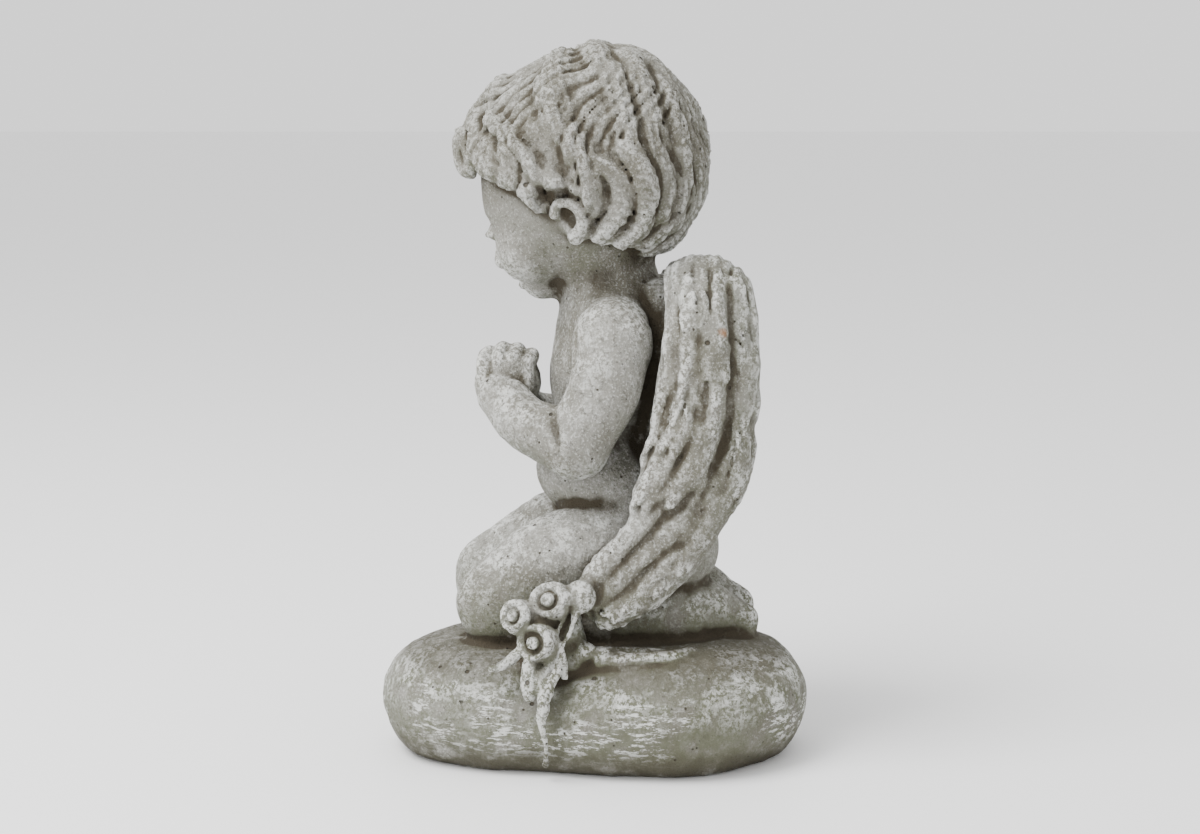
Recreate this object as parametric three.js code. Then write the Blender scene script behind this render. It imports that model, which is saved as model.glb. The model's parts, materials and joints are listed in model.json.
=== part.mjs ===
// A praying cherub kneeling on a puffed heart, cast in one piece of concrete.
// Millimetres, +Z up. The figure faces -Y, its left hand is towards +X, and z = 0 is the flat underside.
//
// The casting is modelled like clay: every limb, lock, feather and petal is a signed distance that is blended
// onto or carved out of one grid of values. The zero surface of that grid, thinned, is the skin of the solid.
import * as THREE from "three";

// ---------------------------------------------------------------- driving dimensions
const HEART = { small: [17, -35, 42.5], large: [16, 19, 55], point: [-62, -2, 14], rim: 19, dome: 2.5, sunk: 2.5 };
const HEAD = { at: [0, -4, 205.5], nod: 25, turn: -18 };
const CAP = { at: [0, -0.8, 1.2], radii: [37.5, 41.5, 40], under: 0.6 };
const CROWN_TILT = 48; // degrees the crown of the hair lies behind the top of the head
const CELL = 1.7; // spacing of the clay grid
const TRIANGLES = 9800; // what the skin is thinned to
const ROOM = { low: [-82, -88, -3], high: [84, 80, 256] };

// ---------------------------------------------------------------- small maths
const { abs, atan2, cos, sin, hypot, min, max, floor, PI } = Math;
const clamp = THREE.MathUtils.clamp;
const mix = THREE.MathUtils.lerp;
const ease = THREE.MathUtils.smoothstep;
const rad = THREE.MathUtils.degToRad;
const deg = THREE.MathUtils.radToDeg;
const hash = (n) => {
  const v = sin(n * 12.9898) * 43758.5453;
  return v - floor(v);
};

// The lesser of two distances with a fillet of size k between them, and the greater likewise.
const softMin = (a, b, k) => min(a, b) - (max(k - abs(a - b), 0) / k) ** 2 * k * 0.25;
const softMax = (a, b, k) => -softMin(-a, -b, k);

// ---------------------------------------------------------------- shapes: a box that holds them and a distance
const around = (low, high) => new THREE.Box3(new THREE.Vector3(...low), new THREE.Vector3(...high));

function ellipsoid([cx, cy, cz], [rx, ry, rz]) {
  return {
    box: around([cx - rx, cy - ry, cz - rz], [cx + rx, cy + ry, cz + rz]),
    distance(x, y, z) {
      const [a, b, c] = [(x - cx) / rx, (y - cy) / ry, (z - cz) / rz];
      const k0 = hypot(a, b, c);
      const k1 = hypot(a / rx, b / ry, c / rz);
      return k1 < 1e-9 ? -min(rx, ry, rz) : (k0 * (k0 - 1)) / k1;
    },
  };
}

// A tube through points [x, y, z, radius].
function tube(path) {
  const box = new THREE.Box3();
  for (const [x, y, z, r] of path) {
    box.union(around([x - r, y - r, z - r], [x + r, y + r, z + r]));
  }
  return {
    box,
    distance(x, y, z) {
      let best = Infinity;
      for (let i = 1; i < path.length; i++) {
        const [ax, ay, az, ar] = path[i - 1];
        const [bx, by, bz, br] = path[i];
        const [dx, dy, dz] = [bx - ax, by - ay, bz - az];
        const along = (x - ax) * dx + (y - ay) * dy + (z - az) * dz;
        const t = clamp(along / (dx * dx + dy * dy + dz * dz), 0, 1);
        best = min(best, hypot(x - ax - t * dx, y - ay - t * dy, z - az - t * dz) - mix(ar, br, t));
      }
      return best;
    },
  };
}

// A tube along a smooth curve through a few points.
function bent(points, samples = 10) {
  const curve = new THREE.CatmullRomCurve3(points.map(([x, y, z]) => new THREE.Vector3(x, y, z)));
  const last = points.length - 1;
  const path = [];
  for (let i = 0; i <= samples; i++) {
    const t = (i / samples) * last;
    const k = min(floor(t), last - 1);
    const p = curve.getPoint(i / samples);
    path.push([p.x, p.y, p.z, mix(points[k][3], points[k + 1][3], t - k)]);
  }
  return tube(path);
}

// Moves a shape from its own frame into the figure's.
function placed(shape, matrix) {
  const [a, b, c, , d, e, f, , g, h, i, , j, k, l] = matrix.clone().invert().elements;
  return {
    box: shape.box.clone().applyMatrix4(matrix),
    distance: (x, y, z) =>
      shape.distance(a * x + d * y + g * z + j, b * x + e * y + h * z + k, c * x + f * y + i * z + l),
  };
}

const mirrored = (side, points) => points.map(([x, ...rest]) => [side * x, ...rest]);

// ---------------------------------------------------------------- the clay
class Clay {
  constructor({ low, high }, cell) {
    this.low = low;
    this.cell = cell;
    this.size = low.map((v, axis) => Math.ceil((high[axis] - v) / cell) + 1);
    this.values = new Float32Array(this.size[0] * this.size[1] * this.size[2]).fill(999);
  }

  // Changes every grid value within reach of a shape.
  work(shape, reach, change) {
    const [nx, ny] = this.size;
    const { low, cell } = this;
    const [[i0, i1], [j0, j1], [k0, k1]] = ["x", "y", "z"].map((name, axis) => [
      max(0, floor((shape.box.min[name] - reach - low[axis]) / cell)),
      min(this.size[axis] - 1, Math.ceil((shape.box.max[name] + reach - low[axis]) / cell)),
    ]);
    for (let k = k0; k <= k1; k++) {
      for (let j = j0; j <= j1; j++) {
        for (let i = i0; i <= i1; i++) {
          const at = (k * ny + j) * nx + i;
          const distance = shape.distance(low[0] + i * cell, low[1] + j * cell, low[2] + k * cell);
          this.values[at] = change(this.values[at], distance);
        }
      }
    }
  }

  add(shape, fillet) {
    this.work(shape, fillet + 2 * this.cell, (old, d) => softMin(old, d, fillet));
  }

  carve(shape, fillet) {
    this.work(shape, fillet + 2 * this.cell, (old, d) => softMax(old, -d, fillet));
  }
}

// ---------------------------------------------------------------- the heart it kneels on
// Its larger lobe is on the figure's back side, its notch towards +X, and its point is away at -X.
function heart() {
  const { small, large, point, rim, dome, sunk } = HEART;
  const flat = ([x, y, r]) => [x, y, 0, r];
  const [smallLobe, largeLobe] = [small, large].map((lobe) => tube([flat(lobe), flat(point)]));
  return {
    box: around([ROOM.low[0], ROOM.low[1], -2], [ROOM.high[0], ROOM.high[1], 2 * rim + dome + 3]),
    distance(x, y, z) {
      const cleft = mix(29, 8, ease(z, 6, 36));
      const outline = softMin(smallLobe.distance(x, y, 0), largeLobe.distance(x, y, 0), cleft);
      const crest = rim + dome * ease(-outline, 6, 30);
      const off = max(z - crest, ((rim - z) * rim) / (rim + sunk), 0);
      return hypot(max(outline + rim, 0), off) - rim;
    },
  };
}

// The crease that runs over the rim between the two lobes.
const CLEFT = [[42, -12, 43, 2], [57, -15, 40, 3], [69, -17, 28, 3.5], [69.5, -17, 4, 2.5]];

function shapeBase(clay) {
  clay.add(heart(), 1);
  clay.carve(tube(CLEFT), 4);
}

// ---------------------------------------------------------------- the kneeling body
function shapeBody(clay) {
  clay.add(ellipsoid([0, 13, 82], [31, 24, 23]), 4);
  clay.add(ellipsoid([0, 1, 97], [28, 23.5, 19]), 8);
  clay.add(ellipsoid([0, 4, 132], [28, 21.5, 29]), 10);
  clay.add(tube([[-22, 5, 149, 12], [22, 5, 149, 12]]), 8);
  clay.add(tube([[0, 7, 150, 19], [0, 0, 176, 17]]), 8);
  for (const side of [-1, 1]) {
    const lead = side < 0 ? -3 : 0;
    clay.add(ellipsoid([side * 14, 22, 72], [19, 20, 19]), 5);
    clay.add(bent(mirrored(side, [[17, 10, 74, 19], [22, -15, 66, 18.5], [23, -35 + lead, 54, 15.5]])), 3);
    clay.add(bent(mirrored(side, [[23, -36 + lead, 50, 13], [24, -10, 48, 13], [21, 22, 48, 13], [16, 36, 48, 11]])), 3);
    clay.add(bent(mirrored(side, [[17, 24, 53, 11], [16, 38, 49, 9], [14, 50, 44.5, 7]])), 4);
  }
}

function shapeArms(clay) {
  for (const side of [-1, 1]) {
    const drop = side < 0 ? 5 : 0;
    clay.add(ellipsoid([side * 29, 4, 145], [13.5, 13.5, 15.5]), 4);
    clay.add(bent(mirrored(side, [[32, 4.5, 145, 12.5], [36, 1, 129, 12.5], [36, -8, 111.5 - drop, 11.5]])), 3);
    clay.add(bent(mirrored(side, [[36, -8, 111.5 - drop, 11.5], [27, -25, 117 - drop, 9.5], [12, -35, 125, 8.5]])), 2);
    clay.add(ellipsoid([side * 6, -33, 128.5], [8, 11.5, 11]), 2);
    for (let finger = 0; finger < 4; finger++) {
      const y = -41 + finger * 5;
      const z = 132.5 + 3.2 * sin((finger + 0.7) * 0.8);
      clay.add(tube(mirrored(side, [[11.5, y, z - 5, 2.7], [7.5, y, z + 2.5, 2.9], [1, y + 1.5, z + 4.5, 2.7]])), 0.8);
    }
  }
}

// ---------------------------------------------------------------- the head, in its own frame, facing -Y
function shapeHead(clay) {
  const frame = new THREE.Matrix4()
    .makeTranslation(...HEAD.at)
    .multiply(new THREE.Matrix4().makeRotationZ(rad(HEAD.turn)))
    .multiply(new THREE.Matrix4().makeRotationX(rad(HEAD.nod)));
  const add = (shape, fillet) => clay.add(placed(shape, frame), fillet);
  const carve = (shape, fillet) => clay.carve(placed(shape, frame), fillet);
  add(ellipsoid([0, -12, -8], [30, 29, 27]), 8);
  add(ellipsoid([0, 0, 0], [34, 39, 37]), 6);
  add(ellipsoid([0, -31, -30], [10, 9, 7]), 5);
  for (const side of [-1, 1]) {
    add(ellipsoid([side * 14, -28, -19], [13, 11, 12]), 5);
    carve(ellipsoid([side * 12, -43, -8], [7, 5, 4.5]), 5);
    add(ellipsoid([side * 12, -35.5, -8.5], [6, 4.5, 4]), 1);
    add(bent(mirrored(side, [[6, -39, -9, 1], [12, -40.6, -8, 1.3], [18, -36.5, -9, 1]])), 1);
    add(ellipsoid([side * 3.4, -41.5, -18.5], [2.8, 3.4, 2.6]), 1.5);
    add(ellipsoid([side * 29, -2, -17], [5, 6, 8]), 3);
    add(bent(mirrored(side, EAR)), 1);
    carve(ellipsoid([side * 34.5, -4, -16.5], [3, 2.6, 4.2]), 1);
    for (const points of CURLS) {
      add(bent(mirrored(side, points), 12), 0.8);
    }
  }
  add(tube([[0, -39.5, -8, 2.4], [0, -43.5, -17.5, 3.4]]), 3);
  add(bent([[-6, -38.5, -25.4, 1.4], [0, -41.5, -24.3, 2], [6, -38.5, -25.4, 1.4]]), 1.5);
  add(bent([[-4.5, -38.5, -27.8, 1.4], [0, -40.4, -28.4, 2.1], [4.5, -38.5, -27.8, 1.4]]), 1.5);
  add(cap(), 1.5);
  for (const lock of locks()) {
    add(lock, 0.8);
  }
}

// The mass of hair under the locks, ending just inside the hairline.
function cap() {
  const mass = ellipsoid(CAP.at, CAP.radii.map((r) => r + CAP.under));
  const [ct, st] = [cos(rad(CROWN_TILT)), sin(rad(CROWN_TILT))];
  return {
    box: mass.box,
    distance(x, y, z) {
      const [a, b, c] = [x - CAP.at[0], y - CAP.at[1], z - CAP.at[2]];
      const [forward, up] = [c * st - b * ct, b * st + c * ct];
      const bearing = abs(deg(atan2(a, forward)));
      const beyond = deg(atan2(hypot(a, forward), up)) - between(HAIRLINE, bearing) + 4;
      return softMax(mass.distance(x, y, z), rad(40) * beyond, 4);
    },
  };
}

// The rim of an ear from its root over the top to the lobe, and the curls that hook in behind and below it.
const EAR = [[32.5, -8, -13, 2], [34.5, -4, -10.5, 2.2], [34, 0.8, -14, 2.2], [32.8, 0.5, -19.5, 2], [31.5, -4.5, -23, 2.6]];
const CURLS = [
  [[33, 8, 2, 4], [32.5, 15.5, -5, 4], [30.5, 18, -13, 4], [29.5, 14.5, -20.5, 3.8], [29.5, 7, -24.5, 3], [29, 2, -26, 2]],
  [[30, 24, -3, 4.2], [29, 25.5, -12, 4.2], [27, 23, -21, 4], [25.5, 17, -27.5, 3.6], [25.5, 8, -31, 2.6]],
  [[35, -12, 4, 3.6], [36, -11.5, -5, 3.4], [35.5, -9.5, -12, 2.6], [34.5, -10.5, -17, 1.6]],
  [[17, -32, 26, 4], [16, -35.5, 20, 3.8], [18, -35.5, 15, 3.2], [22, -32.5, 15, 2.4], [23, -30, 18, 1.8]],
];

// Reads a value off a row of [position, value] stops.
function between(stops, at) {
  const k = max(1, stops.findIndex(([p]) => p >= at));
  const [[p0, v0], [p1, v1]] = [stops[k - 1], stops[k]];
  return mix(v0, v1, (at - p0) / (p1 - p0));
}

// Bearings go round the crown from the brow (0) to the nape (180). A lock springs from the parting, which runs
// forwards from the crown, and falls to the hairline; both are given as degrees from the crown.
const HAIRLINE = [[0, 103], [34, 105], [67, 98], [86, 104], [97, 110], [105, 102], [118, 109], [133, 115], [180, 117]];
const PARTING = [[0, 60], [34, 88], [67, 96], [90, 93], [112, 74], [125, 38], [145, 12], [180, 2]];

function direction(bearing, fromCrown) {
  return new THREE.Vector3(0, 0, 1)
    .applyAxisAngle(new THREE.Vector3(1, 0, 0), rad(fromCrown))
    .applyAxisAngle(new THREE.Vector3(0, 0, 1), rad(bearing))
    .applyAxisAngle(new THREE.Vector3(1, 0, 0), rad(-CROWN_TILT));
}

// One stretch of a lock, from one share of the way down to another, swaying as it goes.
function lock(bearing, from, to, thick, seed) {
  const side = bearing < 0 ? -1 : 1;
  const start = direction(side * 9, between(PARTING, abs(bearing)));
  const end = direction(bearing, between(HAIRLINE, abs(bearing)));
  const across = start.clone().cross(end).normalize();
  const [rx, ry, rz] = CAP.radii;
  const points = [];
  for (let i = 0; i <= 8; i++) {
    const t = mix(from, to, i / 8);
    const taper = min(1, 0.55 + i / 5, 0.45 + (8 - i) / 4);
    const sway = 0.075 * sin(2 * PI * (1.35 * t + 0.12 * hash(seed))) + 0.05 * (hash(seed + 0.4) - 0.5);
    const p = start.clone().lerp(end, t).normalize().addScaledVector(across, side * sway).normalize();
    p.multiplyScalar(1 / hypot(p.x / rx, p.y / ry, p.z / rz) - 1.5 * (i / 8) ** 2);
    points.push([...p.add(new THREE.Vector3(...CAP.at)).toArray(), thick * taper]);
  }
  return tube(points);
}

// Three rows of locks overlap like thatch, the lowest laid first.
function locks() {
  const rows = [
    { count: 15, from: 0.58, to: 1, thick: 4.3 },
    { count: 12, from: 0.28, to: 0.74, thick: 4.6 },
    { count: 9, from: 0, to: 0.42, thick: 4.6 },
  ];
  return rows.flatMap(({ count, from, to, thick }, row) =>
    [-1, 1].flatMap((side) =>
      [...Array(count).keys()].map((n) => {
        const seed = 97 * row + 31 * side + n;
        const bearing = (side * 176 * (n + 0.25 + 0.5 * (row % 2) + 0.3 * hash(seed + 0.7))) / count;
        return lock(bearing, from, to - 0.1 * hash(seed + 0.2), thick, seed);
      })));
}

// ---------------------------------------------------------------- the wings
// Ribs of the near wing from the shoulder down: the sheet behind them, the thick outer band, then the two
// shorter layers of feathers whose tips stand free along the front edge.
const RIBS = [
  [[20, 36, 160, 8.5], [27, 38, 137, 9], [30, 36, 110, 9], [33, 25, 84, 9], [40, 10, 63, 7]],
  [[25, 43, 160, 9], [32, 45.5, 149, 9], [35, 46, 132, 8.5], [36, 45.5, 112, 8.5], [38, 38, 90, 8], [42, 26, 72, 7.5],
    [46, 12, 59, 6.5], [48, 2, 53, 5]],
  [[42, 35, 100, 5.5], [43, 24, 82, 5.5], [46, 8, 67, 5], [48, -2, 58, 4]],
  [[42, 27, 102, 5], [43, 16, 86, 5], [46, 2, 71, 4.5], [48, -5, 62, 4]],
  [[26, 39, 165, 7], [38, 38, 153, 6.5], [42, 38, 138, 6.5], [43, 37, 120, 6], [43, 32, 106, 5.5], [44, 23, 94, 4]],
  [[26, 33, 165, 7], [39, 32, 152, 6], [42, 31, 138, 6], [43, 29, 120, 6], [43, 21, 104, 5], [44, 14, 91, 4]],
  [[27, 28, 164, 6], [36, 28, 149, 5.5], [38, 26, 136, 5.5], [39, 23, 120, 5], [41, 17, 107, 4]],
];

function shapeWings(clay) {
  for (const side of [-1, 1]) {
    const rise = side > 0 ? 4 : -1;
    for (const path of RIBS) {
      const lifted = path.map(([x, y, z, r]) => [x, y, z + rise * ease(z, 100, 160), r]);
      clay.add(bent(mirrored(side, lifted), 14), 1.4);
    }
    clay.add(bent(mirrored(side, [[12, 22, 158, 8], [14, 24, 135, 10], [14, 24, 105, 10]])), 4);
    clay.add(tube(mirrored(side, [[12, 26, 150, 8], [25, 36, 148, 8]])), 4);
    clay.add(tube(mirrored(side, [[14, 26, 110, 9], [27, 34, 110, 8]])), 4);
  }
}

// ---------------------------------------------------------------- the roses and their ribbon
// A rolled rose: a cup of petals with a smaller roll and a hole inside it.
function rose(clay, at, axis, radius) {
  const turn = new THREE.Quaternion().setFromUnitVectors(
    new THREE.Vector3(0, 0, 1), new THREE.Vector3(...axis).normalize());
  const frame = new THREE.Matrix4().makeRotationFromQuaternion(turn).setPosition(...at);
  clay.add(placed(tube([[0, 0, -radius, radius * 0.7], [0, 0, 0, radius * 0.92]]), frame), 1);
  clay.carve(placed(ellipsoid([0, 0, radius], [radius * 0.8, radius * 0.8, radius * 0.75]), frame), 0.5);
  for (const [share, height, thick] of [[0.82, 0.42, 1.1], [0.36, 0.5, 1.2]]) {
    const ring = [...Array(17).keys()].map((n) => {
      const angle = (2 * PI * n) / 16;
      const lip = height * radius + 0.5 * sin(2 * angle);
      return [share * radius * cos(angle), share * radius * sin(angle), lip, thick];
    });
    clay.add(placed(tube(ring), frame), 0.4);
  }
}

function shapeBouquet(clay) {
  clay.add(ellipsoid([48, -16, 45], [12, 15, 12]), 3);
  rose(clay, [57, -17, 61.5], [1, -0.35, 0.45], 6.5);
  rose(clay, [58, -29, 56], [0.8, -0.6, 0.35], 5.5);
  rose(clay, [61, -21, 47.5], [0.9, -0.5, 0.1], 6.5);
  clay.add(ellipsoid([54, -7, 61.5], [6, 5.5, 5.5]), 1);
  clay.add(bent([[57, -9, 57, 2.4], [61, -12, 48, 2.2], [63, -14, 39, 2.4], [66, -18, 32, 1.8]]), 0.8);
  clay.add(bent([[57, -13, 54, 2.2], [62, -17, 42, 2.2], [63, -20, 35, 2]]), 0.8);
  clay.add(bent([[62, -18, 37, 2], [66.5, -18.5, 29, 1.8], [67.5, -19, 18, 1.8], [65, -18.5, 6, 2]]), 0.8);
  clay.add(bent([[58, -28, 43, 2], [59, -33, 39, 2], [59, -37, 38, 1.4]]), 1);
  clay.add(bent([[50, -1, 41, 3], [46, 12, 40, 2.4], [44, 24, 39, 1.4]]), 1.5);
}

// ---------------------------------------------------------------- from clay to skin
// Each grid cube is cut into six tetrahedra round one diagonal, so the skin is closed everywhere.
const TETRAHEDRA = [[1, 3], [3, 2], [2, 6], [6, 4], [4, 5], [5, 1]].map(([a, b]) => [0, a, b, 7]);

function skin(clay) {
  const { low, cell, values } = clay;
  const [nx, ny, nz] = clay.size;
  const offset = [...Array(8).keys()].map((c) => (c & 1) + nx * ((c >> 1) & 1) + nx * ny * ((c >> 2) & 1));
  const vertices = [];
  const faces = [];
  const known = new Map();
  const place = (n) => [n % nx, floor(n / nx) % ny, floor(n / (nx * ny))].map((i, axis) => low[axis] + i * cell);
  const crossing = (a, b) => {
    const key = min(a, b) * 8 + offset.indexOf(abs(a - b));
    if (!known.has(key)) {
      const [p, q] = [place(a), place(b)];
      const t = clamp(values[a] / (values[a] - values[b]), 0.04, 0.96);
      known.set(key, vertices.push(p.map((v, axis) => mix(v, q[axis], t))) - 1);
    }
    return known.get(key);
  };
  for (let k = 0; k < nz - 1; k++) {
    for (let j = 0; j < ny - 1; j++) {
      for (let i = 0; i < nx - 1; i++) {
        const at = (k * ny + j) * nx + i;
        const within = offset.filter((o) => values[at + o] < 0).length;
        if (within > 0 && within < 8) {
          for (const corners of TETRAHEDRA) {
            const nodes = corners.map((c) => at + offset[c]);
            const ins = nodes.filter((n) => values[n] < 0);
            const outs = nodes.filter((n) => values[n] >= 0);
            faces.push(...partition(ins, outs, crossing, vertices, place));
          }
        }
      }
    }
  }
  return { vertices, faces };
}

// The triangles that part the inside corners of a tetrahedron from the outside ones, facing outwards.
function partition(ins, outs, crossing, vertices, place) {
  if (!ins.length || !outs.length) {
    return [];
  }
  const [a, b] = ins;
  const [c, d] = outs;
  const pairs = ins.length === 2 ? [[a, c], [a, d], [b, d], [b, c]] : ins.flatMap((p) => outs.map((q) => [p, q]));
  const loop = pairs.map(([p, q]) => crossing(p, q));
  const outward = middle(outs.map(place)).map((v, axis) => v - middle(ins.map(place))[axis]);
  if (dot(normal(...loop.slice(0, 3).map((n) => vertices[n])), outward) < 0) {
    loop.reverse();
  }
  return loop.length === 3 ? [loop] : [[loop[0], loop[1], loop[2]], [loop[0], loop[2], loop[3]]];
}

const dot = (a, b) => a[0] * b[0] + a[1] * b[1] + a[2] * b[2];
const middle = (points) => [0, 1, 2].map((axis) => points.reduce((sum, p) => sum + p[axis], 0) / points.length);

function normal(a, b, c) {
  const [ux, uy, uz] = [b[0] - a[0], b[1] - a[1], b[2] - a[2]];
  const [vx, vy, vz] = [c[0] - a[0], c[1] - a[1], c[2] - a[2]];
  return [uy * vz - uz * vy, uz * vx - ux * vz, ux * vy - uy * vx];
}

// Keeps the outer shell, so bubbles closed in between two shapes are filled.
function outerShell({ vertices, faces }) {
  const parent = vertices.map((_, n) => n);
  const root = (n) => {
    while (parent[n] !== n) {
      parent[n] = parent[parent[n]];
      n = parent[n];
    }
    return n;
  };
  for (const [a, b, c] of faces) {
    parent[root(a)] = root(b);
    parent[root(b)] = root(c);
  }
  const tally = new Map();
  for (const [a] of faces) {
    tally.set(root(a), (tally.get(root(a)) || 0) + 1);
  }
  const [largest] = [...tally].reduce((best, entry) => (entry[1] > best[1] ? entry : best));
  return { vertices, faces: faces.filter(([a]) => root(a) === largest) };
}

// ---------------------------------------------------------------- thinning the skin
class Heap {
  constructor() {
    this.items = [];
  }

  push(item) {
    const { items } = this;
    let n = items.push(item) - 1;
    while (n > 0 && items[(n - 1) >> 1].cost > item.cost) {
      items[n] = items[(n - 1) >> 1];
      n = (n - 1) >> 1;
    }
    items[n] = item;
  }

  pop() {
    const { items } = this;
    const top = items[0];
    const item = items.pop();
    if (items.length) {
      let n = 0;
      for (;;) {
        let child = 2 * n + 1;
        if (child + 1 < items.length && items[child + 1].cost < items[child].cost) {
          child++;
        }
        if (child >= items.length || items[child].cost >= item.cost) {
          break;
        }
        items[n] = items[child];
        n = child;
      }
      items[n] = item;
    }
    return top;
  }
}

// The squared distance to a set of planes, as the ten terms of a symmetric 4 x 4 matrix.
const planeTerms = ([a, b, c], d, weight) =>
  [a * a, a * b, a * c, a * d, b * b, b * c, b * d, c * c, c * d, d * d].map((v) => v * weight);

const offPlanes = (q, [x, y, z]) =>
  q[0] * x * x + 2 * q[1] * x * y + 2 * q[2] * x * z + 2 * q[3] * x + q[4] * y * y + 2 * q[5] * y * z +
  2 * q[6] * y + q[7] * z * z + 2 * q[8] * z + q[9];

// The point nearest to all the planes, or null where they leave it free to slide.
function nearestPoint(q) {
  const m = new THREE.Matrix3().set(q[0], q[1], q[2], q[1], q[4], q[5], q[2], q[5], q[7]);
  const trace = q[0] + q[4] + q[7];
  if (abs(m.determinant()) < 1e-4 * trace ** 3) {
    return null;
  }
  return new THREE.Vector3(-q[3], -q[6], -q[8]).applyMatrix3(m.invert()).toArray();
}

// Collapses edges, the one that moves the surface least first, until the target is met.
function thinned({ vertices, faces }, target) {
  const quadric = vertices.map(() => new Float64Array(10));
  const round = vertices.map(() => new Set());
  const stamp = new Int32Array(vertices.length);
  faces.forEach((face, f) => {
    const n = normal(...face.map((v) => vertices[v]));
    const size = hypot(...n);
    const unit = n.map((v) => v / size);
    const terms = planeTerms(unit, -dot(unit, vertices[face[0]]), size);
    for (const v of face) {
      round[v].add(f);
      terms.forEach((term, i) => (quadric[v][i] += term));
    }
  });
  const neighbours = (v) => new Set([...round[v]].flatMap((f) => faces[f]).filter((n) => n !== v));
  const heap = new Heap();
  const consider = (a, b) => {
    const q = quadric[a].map((v, i) => v + quadric[b][i]);
    const [p, r] = [vertices[a], vertices[b]];
    const half = p.map((v, axis) => (v + r[axis]) / 2);
    const span = hypot(p[0] - r[0], p[1] - r[1], p[2] - r[2]);
    let to = nearestPoint(q);
    if (!to || hypot(to[0] - half[0], to[1] - half[1], to[2] - half[2]) > span) {
      to = [half, p, r].reduce((best, option) => (offPlanes(q, option) < offPlanes(q, best) ? option : best));
    }
    heap.push({ cost: offPlanes(q, to) + 1e-3 * span ** 3, a, b, to, stamp: stamp[a] + stamp[b] });
  };
  const turnsOver = (from, other, to) =>
    [...round[from]].some((f) => {
      if (faces[f].includes(other)) {
        return false;
      }
      const before = normal(...faces[f].map((v) => vertices[v]));
      const after = normal(...faces[f].map((v) => (v === from ? to : vertices[v])));
      return dot(before, after) < 0.3 * hypot(...before) * hypot(...after) || hypot(...after) < 0.02;
    });
  vertices.forEach((_, a) => neighbours(a).forEach((b) => a < b && consider(a, b)));
  let left = faces.length;
  while (left > target && heap.items.length) {
    const { a, b, to, stamp: made } = heap.pop();
    if (!round[a].size || !round[b].size || stamp[a] + stamp[b] !== made) {
      continue;
    }
    const [near, far] = [neighbours(a), neighbours(b)];
    const shared = [...near].filter((n) => far.has(n)).length;
    if (!near.has(b) || shared !== 2 || turnsOver(a, b, to) || turnsOver(b, a, to)) {
      continue;
    }
    for (const f of [...round[b]]) {
      if (faces[f].includes(a)) {
        faces[f].forEach((v) => round[v].delete(f));
        faces[f] = null;
        left--;
      } else {
        faces[f] = faces[f].map((v) => (v === b ? a : v));
        round[a].add(f);
      }
    }
    round[b].clear();
    quadric[b].forEach((v, i) => (quadric[a][i] += v));
    vertices[a] = to;
    stamp[a] += vertices.length;
    neighbours(a).forEach((n) => consider(a, n));
  }
  return { vertices, faces: faces.filter((face) => face) };
}

// ---------------------------------------------------------------- the part
function meshOf({ vertices, faces }) {
  const used = new Map();
  for (const v of faces.flat()) {
    used.has(v) || used.set(v, used.size);
  }
  const flat = [...used.keys()].flatMap((v) => {
    const [x, y, z] = vertices[v];
    return [x, y, z < 0.25 ? 0 : z];
  });
  const geometry = new THREE.BufferGeometry();
  geometry.setAttribute("position", new THREE.Float32BufferAttribute(flat, 3));
  geometry.setIndex(faces.flatMap((face) => face.map((v) => used.get(v))));
  geometry.computeVertexNormals();
  return geometry;
}

function statue() {
  const clay = new Clay(ROOM, CELL);
  shapeBase(clay);
  shapeBody(clay);
  shapeArms(clay);
  shapeWings(clay);
  shapeHead(clay);
  shapeBouquet(clay);
  clay.carve(ellipsoid([0, 0, -500], [1e5, 1e5, 500]), 0.01);
  return meshOf(thinned(outerShell(skin(clay)), TRIANGLES));
}

const concrete = new THREE.MeshStandardMaterial({ color: 0xa9a698, roughness: 0.95, metalness: 0 });
const angel = new THREE.Mesh(statue(), concrete);
angel.name = "angel_statue";

const part = new THREE.Group();
part.name = "praying_angel_statue";
part.add(angel);

export default part;
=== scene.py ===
"""A praying cherub kneeling on a puffed heart, cast in concrete: the finely carved skin, its weathering, and
the shade and highlights painted into its colour.

The figure is worked like clay. Every limb, lock, feather and petal is a signed distance blended onto or
carved out of one grid, and the zero surface of that grid is the skin. Sizes are in millimetres until the mesh
is made. From there on they are in metres, unless a comment says otherwise.
"""

import json
import math

import bpy
import numpy as np
from mathutils import Matrix, Vector

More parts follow.
